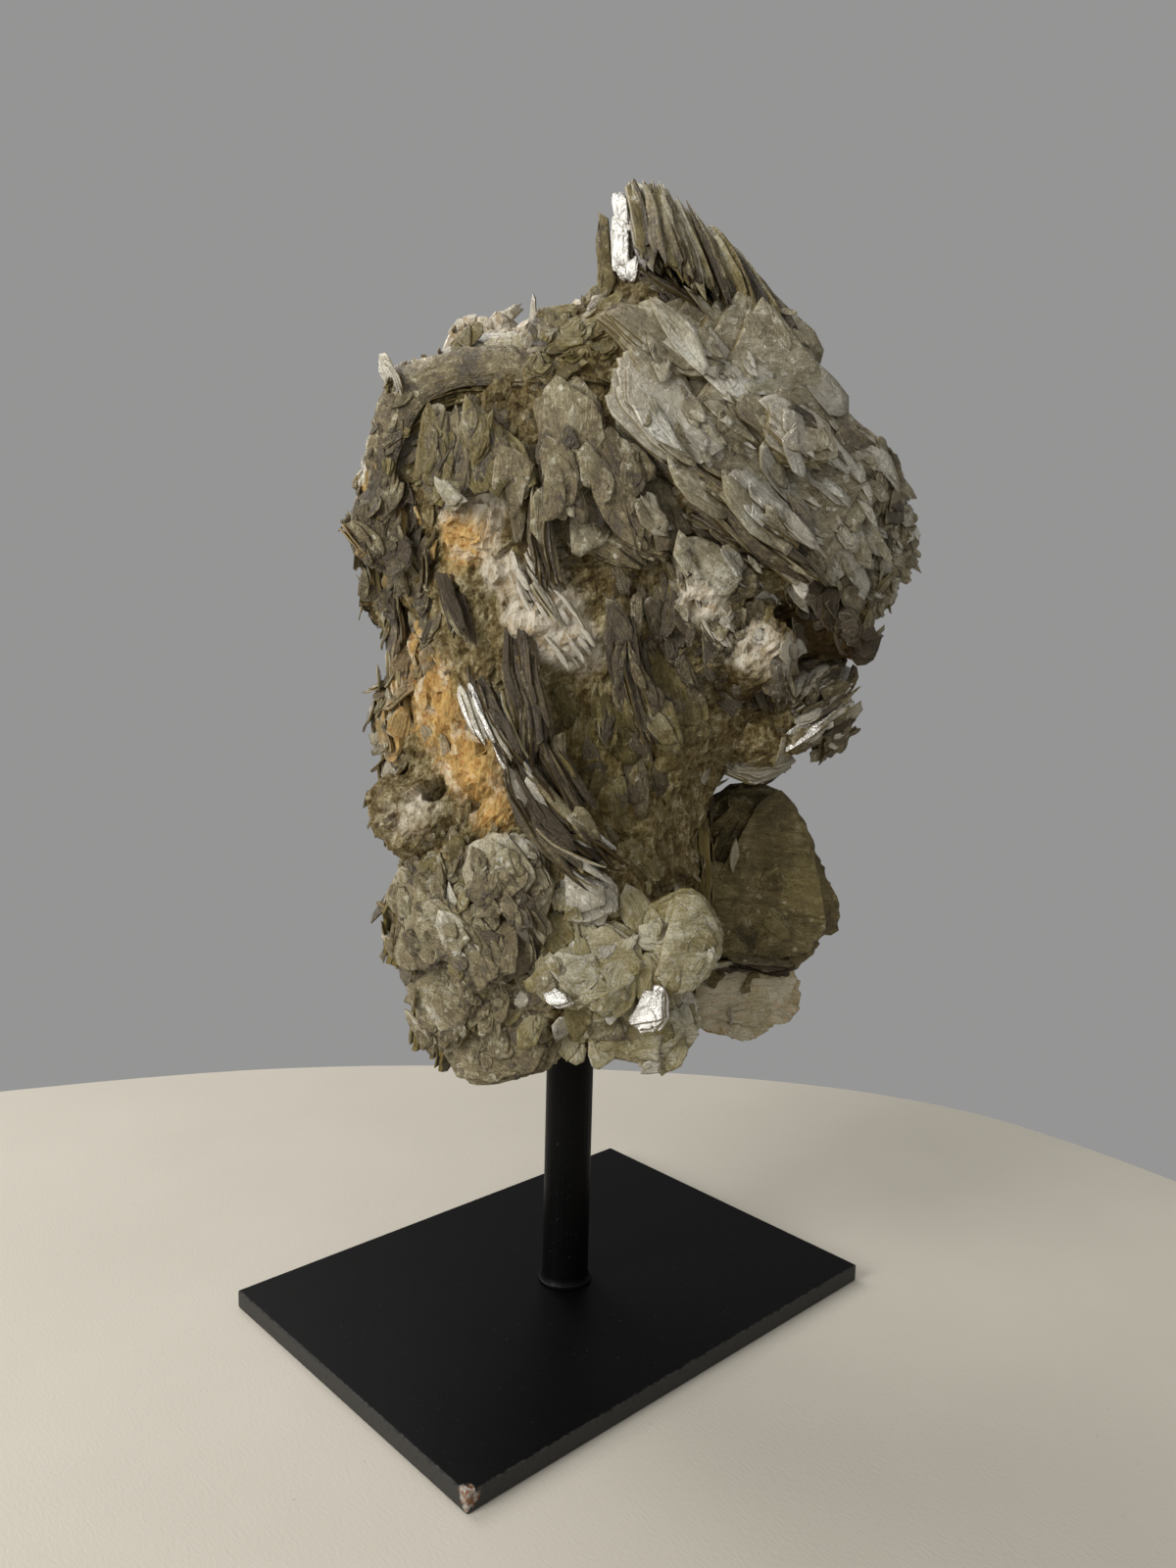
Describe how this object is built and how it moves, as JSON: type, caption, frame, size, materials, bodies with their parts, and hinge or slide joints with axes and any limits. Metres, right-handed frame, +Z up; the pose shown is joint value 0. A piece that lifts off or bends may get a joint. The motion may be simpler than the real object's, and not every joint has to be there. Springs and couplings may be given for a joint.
{
  "type": "mica crystal specimen on a display stand",
  "caption": "Cluster of overlapping mica books and feldspar with iron-stained edges, fixed on a black steel post and rectangular base plate.",
  "frame": {"origin": "centre of the base plate's underside, on the surface that the stand rests on", "axes": "+Z up along the post, +X along the plate's long side, +Y along its short side; the specimen's front faces between -X and -Y"},
  "size_m": [0.1405, 0.1217, 0.2896],
  "materials": {
    "base_plate": "satin black paint, worn at the edges",
    "post": "satin black paint",
    "mica_crystal": "pearly grey-olive mica leaves with dark brown edges, white to cream feldspar and orange iron stain"
  },
  "bodies": {
    "root": {"base_plate": "base_plate", "post": "post", "mica_crystal": "mica_crystal"}
  },
  "joints": []
}
